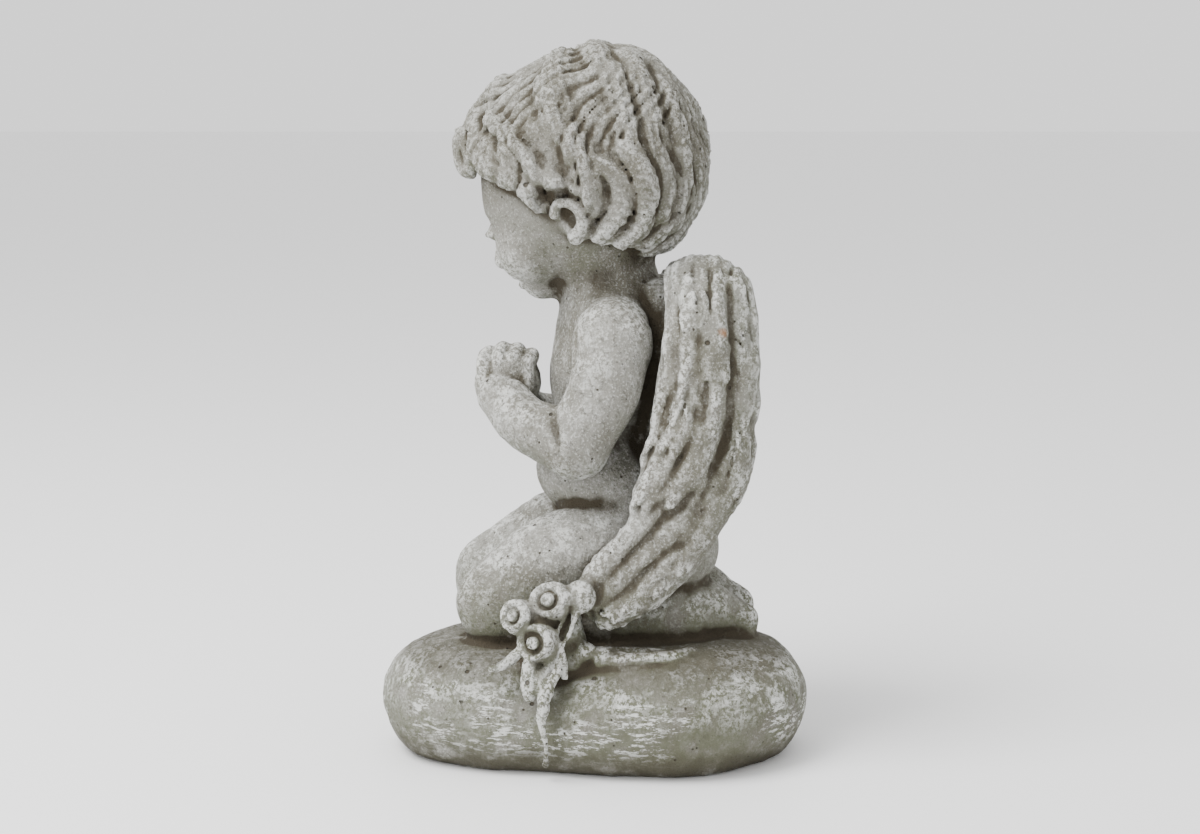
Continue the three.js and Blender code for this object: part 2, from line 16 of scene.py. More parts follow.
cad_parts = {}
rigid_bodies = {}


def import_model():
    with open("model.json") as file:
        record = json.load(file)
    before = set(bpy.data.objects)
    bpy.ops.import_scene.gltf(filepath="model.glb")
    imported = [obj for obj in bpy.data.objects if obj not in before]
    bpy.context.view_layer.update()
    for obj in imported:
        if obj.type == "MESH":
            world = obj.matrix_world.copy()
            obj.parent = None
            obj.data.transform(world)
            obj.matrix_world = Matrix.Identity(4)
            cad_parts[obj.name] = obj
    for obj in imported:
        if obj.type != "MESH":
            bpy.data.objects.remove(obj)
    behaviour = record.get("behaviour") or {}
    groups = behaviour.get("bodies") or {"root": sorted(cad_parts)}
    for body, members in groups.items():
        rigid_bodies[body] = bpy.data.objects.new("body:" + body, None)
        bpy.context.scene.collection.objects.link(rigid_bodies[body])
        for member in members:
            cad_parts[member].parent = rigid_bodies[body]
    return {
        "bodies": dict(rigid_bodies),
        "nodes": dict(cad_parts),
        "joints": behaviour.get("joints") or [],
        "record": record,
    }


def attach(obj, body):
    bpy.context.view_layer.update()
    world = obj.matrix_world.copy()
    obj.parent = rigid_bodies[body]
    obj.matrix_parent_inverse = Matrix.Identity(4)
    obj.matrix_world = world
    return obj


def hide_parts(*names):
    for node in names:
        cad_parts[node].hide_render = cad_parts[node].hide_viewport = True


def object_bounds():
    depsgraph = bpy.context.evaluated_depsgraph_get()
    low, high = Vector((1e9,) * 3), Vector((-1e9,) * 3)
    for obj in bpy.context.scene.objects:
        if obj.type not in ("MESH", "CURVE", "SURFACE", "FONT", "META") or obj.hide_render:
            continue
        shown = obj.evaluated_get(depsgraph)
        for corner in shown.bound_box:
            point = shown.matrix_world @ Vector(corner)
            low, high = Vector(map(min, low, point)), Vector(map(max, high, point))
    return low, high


CELL = 0.95
ROOM = ((-88, -88, -3), (86, 82, 256))
TRIANGLES = 192000

HEART = {
    "small": (17, -35, 42.5),
    "large": (16, 19, 55),
    "point": (-62, -2, 14),
    "rim": 19,
    "dome": 2.5,
    "sunk": 2.5,
}
HEAD = {"at": (0, -4, 205.5), "nod": 25, "turn": -18}
CAP = {"at": (0, -0.8, 1.2), "radii": (37.5, 41.5, 40), "under": 0.6}
CROWN_TILT = 48

# How deeply the weather has roughened each part, where bare skin counts as 1.
WEAR = {
    "face": 0.6,
    "base": 1.2,
    "hair": 1.8,
    "lock": 1.5,
    "wing": 1.5,
    "feather": 1.7,
    "rose": 0.8,
    "chip": 1.6,
    "stem": 1.5,
    "rubble": 2,
}
LUMPS = ((17, 0.6), (8, 0.3), (4, 0.16), (2.2, 0.14))  # size and depth: casting lumps first, coarse sand last

# Pitch and depth of the grooves along a lock, a curl and a wing's rib.
LOCK_STRANDS = (2.9, 0.42)
CURL_STRANDS = (3, 0.5)
BARBS = (3.6, 0.5)


# ------------------------------------------------------------------ small maths
def ease(value, low, high):
    t = np.clip((value - low) / (high - low), 0, 1)
    return t * t * (3 - 2 * t)


def mix(a, b, t):
    return a + (b - a) * t


def chance(n):
    """A fixed pseudo-random number from 0 to 1 for each n."""
    v = math.sin(n * 12.9898) * 43758.5453
    return v - math.floor(v)


def soft_min(a, b, fillet):
    return np.minimum(a, b) - np.maximum(fillet - np.abs(a - b), 0) ** 2 * (0.25 / fillet)


def soft_max(a, b, fillet):
    return -soft_min(-a, -b, fillet)


def curve_through(points, samples):
    """Points x, y, z, radius on a Catmull-Rom curve through the given ones."""
    p = np.array(points, float)
    p = np.vstack([2 * p[0] - p[1], p, 2 * p[-1] - p[-2]])
    out = []
    for s in np.linspace(0, len(points) - 1, samples + 1):
        k = min(int(s), len(points) - 2)
        t = s - k
        a, b, c, d = p[k : k + 4]
        square, cube = 2 * a - 5 * b + 4 * c - d, 3 * b - a - 3 * c + d
        spot = 0.5 * (2 * b + (c - a) * t + square * t**2 + cube * t**3)
        spot[3] = mix(b[3], c[3], t)
        out.append(spot)
    return np.array(out)


def mirrored(side, points):
    return [(side * x, *rest) for x, *rest in points]


# ------------------------------------------------------------------ the clay
class Clay:
    def __init__(self):
        self.axes = [np.arange(low, high, CELL, dtype=np.float32) for low, high in zip(*ROOM)]
        self.values = np.full([len(axis) for axis in self.axes], 99, np.float32)
        self.wear = np.full_like(self.values, 1)

    def window(self, low, high):
        spans = []
        for axis, a, b in zip(self.axes, low, high):
            first = int(np.clip((a - axis[0]) / CELL, 0, len(axis)))
            last = int(np.clip((b - axis[0]) / CELL + 2, 0, len(axis)))
            spans.append(slice(first, last))
        return tuple(spans)

    def spots(self, window):
        x, y, z = (axis[span] for axis, span in zip(self.axes, window))
        return x[:, None, None], y[None, :, None], z[None, None, :]

    def add(self, shape, fillet, wear=1.0):
        """Blends a shape on. wear says how deeply the weather has roughened it."""
        window, distance = shape.field(self, fillet + 2 * CELL)
        self.wear[window] = np.where(distance < self.values[window], wear, self.wear[window])
        self.values[window] = soft_min(self.values[window], distance, fillet)

    def carve(self, shape, fillet):
        window, distance = shape.field(self, fillet + 2 * CELL)
        self.values[window] = soft_max(self.values[window], -distance, fillet)


class Ball:
    """An ellipsoid, in a turned frame if one is given."""

    def __init__(self, at, radii, frame=None):
        self.at, self.radii, self.frame = at, radii, frame or Matrix.Identity(4)

    def field(self, clay, reach):
        centre = self.frame @ Vector(self.at)
        turn = self.frame.to_3x3()
        half = [
            reach + math.sqrt(sum((turn[row][axis] * self.radii[axis]) ** 2 for axis in range(3)))
            for row in range(3)
        ]
        window = clay.window([c - h for c, h in zip(centre, half)], [c + h for c, h in zip(centre, half)])
        x, y, z = (spot - c for spot, c in zip(clay.spots(window), centre))
        near, far = 0, 0
        for axis, radius in enumerate(self.radii):
            along = (x * turn[0][axis] + y * turn[1][axis] + z * turn[2][axis]) / radius
            near = near + along**2
            far = far + (along / radius) ** 2
        near, far = np.sqrt(near), np.sqrt(far)
        return window, near * (near - 1) / np.maximum(far, 1e-6)


class Tube:
    """A tube through points x, y, z, radius. strands gives the pitch and depth of grooves on it, and across
    the direction in which one groove follows another."""

    def __init__(self, points, frame=None, strands=None, across=None):
        self.points = np.array(points, float)
        self.strands, self.across = strands, across
        if frame is not None:
            self.points[:, :3] = [frame @ Vector(p[:3]) for p in self.points]
            self.across = None if across is None else frame.to_3x3() @ Vector(across)

    def field(self, clay, reach):
        spots, radii = self.points[:, :3], self.points[:, 3:]
        window = clay.window((spots - radii).min(0) - reach, (spots + radii).max(0) + reach)
        distance = np.full([span.stop - span.start for span in window], 99, np.float32)
        for a, b in zip(self.points[:-1], self.points[1:]):
            near = clay.window(
                np.minimum(a[:3] - a[3], b[:3] - b[3]) - reach, np.maximum(a[:3] + a[3], b[:3] + b[3]) + reach
            )
            local = tuple(slice(n.start - w.start, n.stop - w.start) for n, w in zip(near, window))
            distance[local] = np.minimum(distance[local], self.stretch(clay.spots(near), a, b))
        return window, distance

    def stretch(self, spots, a, b):
        x, y, z = (spot - start for spot, start in zip(spots, a))
        run = b[:3] - a[:3]
        t = np.clip((x * run[0] + y * run[1] + z * run[2]) / max(run @ run, 1e-9), 0, 1)
        off = (x - t * run[0], y - t * run[1], z - t * run[2])
        distance = np.sqrt(off[0] ** 2 + off[1] ** 2 + off[2] ** 2) - mix(a[3], b[3], t)
        if self.strands:
            pitch, depth = self.strands
            wide = sum(o * c for o, c in zip(off, self.across))
            distance = distance + depth * np.cos(wide * (2 * math.pi / pitch))
        return distance


def bent(points, samples=10, **rest):
    return Tube(curve_through(points, samples), **rest)


# ------------------------------------------------------------------ the heart it kneels on
class Heart:
    def field(self, clay, reach):
        window = clay.window((*ROOM[0][:2], -3), (*ROOM[1][:2], 2 * HEART["rim"] + HEART["dome"] + 4))
        x, y, z = clay.spots(window)
        small, large = (self.lobe(x, y, HEART[name]) for name in ("small", "large"))
        outline = soft_min(small, large, mix(29, 8, ease(z, 6, 36)))
        crest = HEART["rim"] + HEART["dome"] * ease(-outline, 6, 30)
        below = (HEART["rim"] - z) * HEART["rim"] / (HEART["rim"] + HEART["sunk"])
        off = np.maximum(np.maximum(z - crest, below), 0)
        return window, np.hypot(np.maximum(outline + HEART["rim"], 0), off) - HEART["rim"]

    def lobe(self, x, y, lobe):
        point = HEART["point"]
        run = (point[0] - lobe[0], point[1] - lobe[1])
        t = np.clip(((x - lobe[0]) * run[0] + (y - lobe[1]) * run[1]) / (run[0] ** 2 + run[1] ** 2), 0, 1)
        return np.hypot(x - lobe[0] - t * run[0], y - lobe[1] - t * run[1]) - mix(lobe[2], point[2], t)


LOW_RIDGE = [(54, 0, 39.5, 2.4), (55, 12, 40.5, 2.2), (52, 24, 40.5, 1.8), (44, 31, 40, 1.2)]
CLEFT = [(42, -12, 43, 2), (57, -15, 40, 3), (69, -17, 28, 3.5), (69.5, -17, 4, 2.5)]


def shape_base(clay):
    clay.add(Heart(), 1, wear=WEAR["base"])
    clay.carve(Tube(CLEFT), 4)
    clay.add(bent(LOW_RIDGE), 2.5, wear=WEAR["chip"])
    clay.carve(Ball((38, 43, 42), (2.4, 3.4, 2.4)), 1)


# ------------------------------------------------------------------ the kneeling body
def shape_body(clay):
    clay.add(Ball((0, 13, 82), (31, 24, 23)), 4)
    clay.add(Ball((0, 1, 97), (28, 23.5, 19)), 8)
    clay.add(Ball((0, 4, 132), (28, 21.5, 29)), 10)
    clay.add(Tube([(-22, 5, 149, 12), (22, 5, 149, 12)]), 8)
    clay.add(Tube([(0, 7, 150, 19), (0, 0, 176, 17)]), 8)
    for side in (-1, 1):
        lead = -3 if side < 0 else 0
        clay.add(Ball((side * 14, 22, 72), (19, 20, 19)), 5)
        thigh = [(17, 10, 74, 19), (22, -15, 66, 18.5), (23, -35 + lead, 54, 15.5)]
        shin = [(23, -36 + lead, 50, 13), (24, -10, 48, 13), (21, 22, 48, 13), (16, 36, 48, 11)]
        foot = [(17, 24, 53, 11), (16, 38, 49, 9), (14, 50, 44.5, 7)]
        clay.add(bent(mirrored(side, thigh)), 3)
        clay.add(bent(mirrored(side, shin)), 3)
        clay.add(bent(mirrored(side, foot)), 4)


def shape_folds(clay):
    """Where flesh meets flesh: under the belly, before the armpit and inside the elbow."""
    for side in (-1, 1):
        belly = [(4, -24, 93, 0.4), (18, -21, 92, 0.6), (27, -12, 91.5, 0.6), (31, -2, 93, 0.3)]
        armpit = [(33, -9, 149, 0.8), (37, -10, 141, 1.3), (37, -12, 134, 0.8)]
        elbow = [(38, -18, 128, 1), (43, -16, 119, 1.4), (45, -14, 113, 0.6)]
        for points in (belly, armpit, elbow):
            clay.carve(bent(mirrored(side, points)), 2.2)


def shape_arms(clay):
    for side in (-1, 1):
        drop = 5 if side < 0 else 0
        clay.add(Ball((side * 29, 4, 145), (13.5, 13.5, 15.5)), 4)
        upper = [(32, 4.5, 145, 12.5), (36, 1, 129, 12.5), (36, -8, 111.5 - drop, 11.5)]
        fore = [(36, -8, 111.5 - drop, 11.5), (27, -25, 117 - drop, 9.5), (12, -35, 125, 8.5)]
        clay.add(bent(mirrored(side, upper)), 3)
        clay.add(bent(mirrored(side, fore)), 2)
        clay.add(Ball((side * 6, -33, 128.5), (8, 11.5, 11)), 2)
        for finger in range(4):
            y = -41 + finger * 5
            z = 132.5 + 3.2 * math.sin((finger + 0.7) * 0.8)
            joints = [(11.5, y, z - 5, 2.7), (7.5, y, z + 2.5, 2.9), (1, y + 1.5, z + 4.5, 2.7)]
            clay.add(Tube(mirrored(side, joints)), 0.8)


# ------------------------------------------------------------------ the head, in its own frame, facing -Y
HEAD_FRAME = (
    Matrix.Translation(HEAD["at"])
    @ Matrix.Rotation(math.radians(HEAD["turn"]), 4, "Z")
    @ Matrix.Rotation(math.radians(HEAD["nod"]), 4, "X")
)
EAR = [
    (32.5, -8, -13, 2),
    (34.5, -4, -10.5, 2.2),
    (34, 0.8, -14, 2.2),
    (32.8, 0.5, -19.5, 2),
    (31.5, -4.5, -23, 2.6),
]
CURLS = [
    [(33, 8, 2, 4), (32.5, 15.5, -5, 4), (30.5, 18, -13, 4), (29.5, 14.5, -20.5, 3.8), (29.5, 7, -24.5, 3),
     (29, 2, -26, 2)],
    [(30, 24, -3, 4.2), (29, 25.5, -12, 4.2), (27, 23, -21, 4), (25.5, 17, -27.5, 3.6), (25.5, 8, -31, 2.6)],
    [(35, -12, 4, 3.6), (36, -11.5, -5, 3.4), (35.5, -9.5, -12, 2.6), (34.5, -10.5, -17, 1.6)],
    [(17, -32, 26, 4), (16, -35.5, 20, 3.8), (18, -35.5, 15, 3.2), (22, -32.5, 15, 2.4), (23, -30, 18, 1.8)],
]

# Bearings round the crown, and how far from it the hairline and the parting lie there, in degrees.
HAIRLINE = ((0, 34, 67, 86, 97, 105, 118, 133, 180), (103, 105, 98, 104, 110, 102, 109, 115, 117))
PARTING = ((0, 34, 67, 90, 112, 125, 145, 180), (60, 88, 96, 93, 74, 38, 12, 2))


def shape_head(clay):
    def add(at, radii, fillet):
        clay.add(Ball(at, radii, HEAD_FRAME), fillet, wear=WEAR["face"])

    def draw(points, fillet, **rest):
        clay.add(bent(points, frame=HEAD_FRAME, **rest), fillet, wear=WEAR["face"])

    add((0, -12, -8), (30, 29, 27), 8)
    add((0, 0, 0), (34, 39, 37), 6)
    add((0, -31, -30), (10, 9, 7), 5)
    for side in (-1, 1):
        add((side * 14, -28, -19), (13, 11, 12), 5)
        clay.carve(Ball((side * 12, -43, -8), (7, 5, 4.5), HEAD_FRAME), 5)
        add((side * 12, -35.5, -8.5), (6, 4.5, 4), 1)
        draw(mirrored(side, [(6, -39, -9, 1), (12, -40.6, -8, 1.3), (18, -36.5, -9, 1)]), 1)
        add((side * 3.4, -41.5, -18.5), (2.8, 3.4, 2.6), 1.5)
        add((side * 29, -2, -17), (5, 6, 8), 3)
        for points in CURLS:
            draw(mirrored(side, points), 0.8, samples=12, strands=CURL_STRANDS, across=(0, 0.6, 0.6))
    draw([(0, -39.5, -8, 2.4), (0, -43.5, -17.5, 3.4)], 3, samples=1)
    draw([(-6, -38.5, -25.4, 1.4), (0, -41.5, -24.3, 2), (6, -38.5, -25.4, 1.4)], 1.5)
    draw([(-4.5, -38.5, -27.8, 1.4), (0, -40.4, -28.4, 2.1), (4.5, -38.5, -27.8, 1.4)], 1.5)
    clay.add(Cap(), 1.5, wear=WEAR["hair"])
    for tuft in locks():
        clay.add(tuft, 1.4, wear=WEAR["lock"])
    for side in (-1, 1):
        clay.carve(Ball((side * 38.5, -4.5, -16.5), (7, 9.5, 11), HEAD_FRAME), 1.5)
        draw(mirrored(side, EAR), 1)
        clay.carve(Ball((side * 34.5, -4, -16.5), (3.4, 2.7, 4.2), HEAD_FRAME), 1)


def hair_angles(x, y, z):
    """Bearing round the crown and angle from it, in degrees, of places measured from the hair's middle."""
    turn = HEAD_FRAME.to_3x3() @ Matrix.Rotation(math.radians(-CROWN_TILT), 3, "X")
    a, b, c = (x * turn[0][axis] + y * turn[1][axis] + z * turn[2][axis] for axis in range(3))
    return np.degrees(np.arctan2(a, -b)), np.degrees(np.arctan2(np.hypot(a, b), c))


COMBING = ((11, 1.3), (4.7, 0.75))  # pitch in degrees and depth: coarse grooves, then fine ones
COMB_REACH = 50


def comb_hair(clay):
    """Wavy grooves from the crown to the hairline, over locks and cap alike."""
    centre = HEAD_FRAME @ Vector(CAP["at"])
    window = clay.window([c - COMB_REACH for c in centre], [c + COMB_REACH for c in centre])
    x, y, z = (spot - c for spot, c in zip(clay.spots(window), centre))
    bearing, from_crown = hair_angles(x, y, z)
    near = x**2 + y**2 + z**2 < COMB_REACH**2
    hair = ease(clay.wear[window], 1.3, 1.5) * ease(from_crown, 8, 40) * near
    sway = 7 * np.sin(np.radians(5.2 * from_crown + bearing)) + 11 * lumps(clay, 15, 11)[window]
    for pitch, depth in COMBING:
        groove = 1 - np.abs(np.sin(np.pi * (bearing + sway) / pitch))
        clay.values[window] += depth * groove**2.2 * hair


class Cap:
    """The mass of hair under the locks, ending just inside the hairline."""

    def field(self, clay, reach):
        mass = Ball(CAP["at"], [r + CAP["under"] for r in CAP["radii"]], HEAD_FRAME)
        window, distance = mass.field(clay, reach)
        x, y, z = (spot - c for spot, c in zip(clay.spots(window), HEAD_FRAME @ Vector(CAP["at"])))
        bearing, from_crown = hair_angles(x, y, z)
        beyond = (from_crown - np.interp(np.abs(bearing), *HAIRLINE) + 4) * math.radians(40)
        return window, soft_max(distance, beyond.astype(np.float32), 4)


def direction(bearing, from_crown):
    """The way out of the head at a bearing round the crown (0 the brow) and an angle from it, in degrees."""
    turn = Matrix.Rotation(math.radians(-CROWN_TILT), 3, "X") @ Matrix.Rotation(math.radians(bearing), 3, "Z")
    return turn @ Matrix.Rotation(math.radians(from_crown), 3, "X") @ Vector((0, 0, 1))


def lock(bearing, start_share, end_share, thick, seed):
    """One stretch of a lock that falls from the parting to the hairline, swaying as it goes."""
    side = -1 if bearing < 0 else 1
    start = direction(side * 9, np.interp(abs(bearing), *PARTING))
    end = direction(bearing, np.interp(abs(bearing), *HAIRLINE))
    across = start.cross(end).normalized()
    bend = 0.14 * (chance(seed + 0.4) - 0.5)
    points = []
    for i in range(10):
        along = i / 9
        t = mix(start_share, end_share, along)
        radius = thick * min(1, 0.6 + 3 * along) * (1 - 0.5 * along**3)
        sway = 0.07 * math.sin(2 * math.pi * (1.5 * t + 0.3 * chance(seed))) + bend * math.sin(2.2 * along)
        p = (start.lerp(end, t).normalized() + across * side * sway).normalized()
        reach = 1 / math.sqrt(sum((c / r) ** 2 for c, r in zip(p, CAP["radii"])))
        p = p * (reach + 4.2 - thick - 0.9 * (1 - along)) + Vector(CAP["at"])
        points.append((*p, radius))
    return Tube(points, frame=HEAD_FRAME, strands=LOCK_STRANDS, across=across)


# For each row: locks on a side, where they start and end on the way from parting to hairline, and thickness.
LOCK_ROWS = (
    (15, 0.72, 1, 5),
    (14, 0.5, 0.86, 5.3),
    (12, 0.3, 0.68, 5.6),
    (10, 0.13, 0.5, 5.6),
    (7, 0, 0.32, 5.4),
)


def locks():
    """Rows of locks overlap like thatch, the lowest laid first."""
    for row, (count, start_share, end_share, thick) in enumerate(LOCK_ROWS):
        for side in (-1, 1):
            for n in range(count):
                seed = 97 * row + 31 * side + n
                bearing = side * 177 * (n + 0.25 + 0.5 * (row % 2) + 0.4 * chance(seed + 0.7)) / count
                width = thick * (0.84 + 0.3 * chance(seed + 0.9))
                yield lock(bearing, start_share, end_share - 0.08 * chance(seed + 0.2), width, seed)


# ------------------------------------------------------------------ the wings
RIBS = [
    [(20, 36, 160, 8.5), (27, 38, 137, 9), (30, 36, 110, 9), (33, 25, 84, 9), (40, 10, 63, 7)],
    [(25, 43, 160, 9), (32, 45.5, 149, 9), (35, 46, 132, 8.5), (36, 45.5, 112, 8.5), (38, 38, 90, 8),
     (42, 26, 72, 7.5), (46, 12, 59, 6.5), (48, 2, 53, 5)],
    [(42, 35, 100, 5.5), (43, 24, 82, 5.5), (46, 8, 67, 5), (48, -2, 58, 4)],
    [(42, 27, 102, 5), (43, 16, 86, 5), (46, 2, 71, 4.5), (48, -5, 62, 4)],
    [(26, 39, 165, 7), (38, 38, 153, 6.5), (42, 38, 138, 6.5), (43, 37, 120, 6), (43, 32, 106, 5.5),
     (44, 23, 94, 4)],
    [(26, 33, 165, 7), (39, 32, 152, 6), (42, 31, 138, 6), (43, 29, 120, 6), (43, 21, 104, 5),
     (44, 14, 91, 4)],
    [(27, 28, 164, 6), (36, 28, 149, 5.5), (38, 26, 136, 5.5), (39, 23, 120, 5), (41, 17, 107, 4)],
]


FEATHER = {"half_long": 12, "half_thick": 1.15, "sunk": 0.6, "lean": -4}


def feathers(clay, side, rib, seed):
    """Thin overlapping feathers down a rib, in two rows, each leaning a little out of the rib."""
    run = curve_through(rib, 4 * (len(rib) - 1))
    for n, (a, b) in enumerate(zip(run[3:-2:2], run[5::2])):
        along = Vector(b[:3] - a[:3]).normalized()
        for turn in (-0.55, 0.45):
            spread = turn + 0.5 * (chance(seed + n) - 0.5)
            out = Vector((side * math.cos(spread), math.sin(spread), 0.1))
            out = (out - along * along.dot(out)).normalized()
            across = along.cross(out)
            spot = Vector(a[:3]) + out * (a[3] - FEATHER["sunk"]) + across * (chance(seed + n + 0.5) - 0.5)
            basis = Matrix((across, out, along)).transposed().to_4x4()
            frame = Matrix.Translation(spot) @ basis @ Matrix.Rotation(math.radians(FEATHER["lean"]), 4, "X")
            radii = (0.36 * a[3] + 0.6, FEATHER["half_thick"], FEATHER["half_long"])
            clay.add(Ball((0, 0, 0), radii, frame), 0.5, wear=WEAR["feather"])


def shape_wings(clay):
    for side in (-1, 1):
        rise = 4 if side > 0 else -1
        for points in RIBS:
            lifted = [(x, y, z + rise * float(ease(z, 100, 160)), r) for x, y, z, r in points]
            rib = mirrored(side, lifted)
            barbed = bent(rib, 14, strands=BARBS, across=Vector((0.25 * side, 1, 0)))
            clay.add(barbed, 2.2, wear=WEAR["wing"])
            seed = 10 * len(rib) + rib[0][1]
            feathers(clay, side, rib, seed)
        clay.add(bent(mirrored(side, [(12, 22, 158, 8), (14, 24, 135, 10), (14, 24, 105, 10)])), 4)
        clay.add(Tube(mirrored(side, [(12, 26, 150, 8), (25, 36, 148, 8)])), 4)
        clay.add(Tube(mirrored(side, [(14, 26, 110, 9), (27, 34, 110, 8)])), 4)


# ------------------------------------------------------------------ the roses and their ribbon
def rose(clay, at, axis, radius):
    """A rolled rose: a cup with a wavy, winding rim round a smaller roll, whose tip is hollow."""
    frame = Matrix.Translation(at) @ Vector(axis).to_track_quat("Z", "Y").to_matrix().to_4x4()
    clay.add(Ball((0, 0, -0.3 * radius), (radius, radius, radius), frame), 0.8, wear=WEAR["rose"])
    clay.carve(Ball((0, 0, radius), (radius * 0.78, radius * 0.78, radius * 0.95), frame), 0.5)
    roll = [(0, 0, height * radius, 0.36 * radius) for height in (-0.3, 0.32)]
    clay.add(Tube(roll, frame=frame), 0.5)
    rim = []
    for share in np.linspace(0, 1, 33):
        angle = 2 * math.pi * 1.15 * share
        out = radius * mix(0.92, 0.72, share)
        height = radius * mix(0.1, 0.42, share) + 0.6 * math.sin(1.5 * angle)
        rim.append((out * math.cos(angle), 0.86 * out * math.sin(angle), height, 1.1))
    clay.add(Tube(rim, frame=frame), 0.3, wear=WEAR["rose"])
    clay.carve(Ball((0.3, 0, 0.75 * radius), (1.3, 1.5, 2.2), frame), 0.9)


RIBBONS = [
    [(57, -8, 58, 1.5), (60, -10, 51, 1.8), (60, -13, 45, 1.5), (63, -14, 39, 2), (65, -18, 32, 1.4)],
    [(57, -12, 55, 1.4), (61, -16, 47, 1.7), (61, -16, 41, 1.4), (63, -20, 36, 1.8), (65, -17, 31, 1.3)],
    [(60, -14, 48, 1.3), (62, -12, 42, 1.6), (61, -12, 36, 1.2)],
    [(62, -18, 37, 1.8), (66.5, -18.5, 29, 1.7), (69, -19.5, 22, 1.8), (69, -18.5, 14, 1.6),
     (64.5, -18.5, 6, 1.6)],
    [(62, -24, 40, 2.2), (63.5, -24, 34, 2.6), (64.5, -24, 30, 1.6)],
]
CRUMBS = ((-5, 43, 4), (1, 42, 3), (-9, 39, 3.4), (7, 40.5, 2.4))


def shape_bouquet(clay):
    clay.add(Ball((47, -16, 45), (9.5, 12, 12)), 5, wear=WEAR["rubble"])
    clay.add(Ball((53, -20, 54), (6, 8, 8)), 2, wear=WEAR["stem"])
    rose(clay, (57, -17, 61), (1, -0.35, 0.45), 7.2)
    rose(clay, (57, -28.5, 55.5), (0.8, -0.6, 0.35), 6.3)
    rose(clay, (60.5, -21.5, 47.5), (0.9, -0.5, 0.1), 7.4)
    clay.add(Ball((54, -7, 61.5), (6, 5.5, 5.5)), 1)
    for ribbon in RIBBONS:
        clay.add(bent(ribbon), 0.7, wear=WEAR["rubble"])
    for y, z, radius in CRUMBS:
        clay.add(Ball((52, y, z), (radius, radius, radius)), 2.5, wear=WEAR["rubble"])
    clay.add(bent([(58, -28, 43, 2), (59, -33, 39, 2), (59, -37, 38, 1.4)]), 1)
    clay.add(bent([(50, -1, 41, 3), (46, 12, 40, 2.4), (44, 24, 39, 1.4)]), 1.5)


# ------------------------------------------------------------------ from clay to skin
def skin(clay):
    """Corners and quads of the zero surface: one corner in each cell it passes through, a quad round each
    grid edge it crosses."""
    values = clay.values
    inside = values < 0
    corners = [(i, j, k) for i in (0, 1) for j in (0, 1) for k in (0, 1)]
    size = [n - 1 for n in values.shape]
    at = {c: tuple(slice(o, o + n) for o, n in zip(c, size)) for c in corners}
    filled = sum(inside[at[c]].astype(np.uint8) for c in corners)
    cells = np.nonzero((filled > 0) & (filled < 8))
    number = np.full(size, -1, np.int32)
    number[cells] = np.arange(len(cells[0]))
    here = {c: values[tuple(n + o for n, o in zip(cells, c))] for c in corners}
    total, crossings = np.zeros((len(cells[0]), 3)), np.zeros(len(cells[0]))
    for a in corners:
        for axis in range(3):
            if a[axis]:
                continue
            b = tuple(1 if n == axis else o for n, o in enumerate(a))
            cut = (here[a] < 0) != (here[b] < 0)
            share = np.where(cut, here[a] / np.where(cut, here[a] - here[b], 1), 0)
            total += np.where(cut[:, None], np.array(a), 0)
            total[:, axis] += share
            crossings += cut
    low = np.array([axis[0] for axis in clay.axes])
    points = low + CELL * (np.stack(cells, 1) + total / crossings[:, None])
    quads = []
    for axis in range(3):
        b, c = (axis + 1) % 3, (axis + 2) % 3
        near = inside[tuple(slice(0, -1) if n == axis else slice(1, -1) for n in range(3))]
        far = inside[tuple(slice(1, None) if n == axis else slice(1, -1) for n in range(3))]
        edges = np.stack(np.nonzero(near != far), 1)
        leaving = near[tuple(edges.T)]
        edges[:, [b, c]] += 1
        ring = []
        for step in ((-1, -1), (0, -1), (0, 0), (-1, 0)):
            cell = edges.copy()
            cell[:, b] += step[0]
            cell[:, c] += step[1]
            ring.append(number[tuple(cell.T)])
        ring = np.stack(ring, 1)
        quads.append(np.where(leaving[:, None], ring, ring[:, ::-1]))
    return points, np.concatenate(quads)


def outer_shell(points, quads):
    """Drops whatever is not joined to the largest shell."""
    label = np.arange(len(points))
    while True:
        lowest = label[quads].min(1)
        fresh = label.copy()
        for column in quads.T:
            np.minimum.at(fresh, column, lowest)
        fresh = fresh[fresh]
        if np.array_equal(fresh, label):
            break
        label = fresh
    names, counts = np.unique(label[quads[:, 0]], return_counts=True)
    quads = quads[label[quads[:, 0]] == names[counts.argmax()]]
    used, index = np.unique(quads, return_inverse=True)
    return points[used], index.reshape(quads.shape)


def sample(field, clay, points):
    """Reads a grid of values at points, blending the eight nearest."""
    place = (points - np.array([axis[0] for axis in clay.axes])) / CELL
    base = np.clip(place.astype(int), 0, np.array(field.shape) - 2)
    part = np.clip(place - base, 0, 1)
    total = 0
    for corner in range(8):
        step = np.array([corner & 1, corner >> 1 & 1, corner >> 2 & 1])
        weight = np.where(step, part, 1 - part).prod(1)
        total = total + weight * field[tuple((base + step).T)]
    return total


def blurred(field, reach):
    """A field softened over reach millimetres by three passes of a running mean."""
    half = max(1, round(reach / CELL / 2))
    out = field.astype(np.float32)
    for axis in range(3):
        for _ in range(3):
            pad = [(half + 1, half) if n == axis else (0, 0) for n in range(3)]
            run = np.cumsum(np.pad(out, pad, mode="edge"), axis=axis, dtype=np.float64)
            n = out.shape[axis]
            high = run.take(range(2 * half + 1, 2 * half + 1 + n), axis=axis)
            low = run.take(range(0, n), axis=axis)
            out = ((high - low) / (2 * half + 1)).astype(np.float32)
    return out


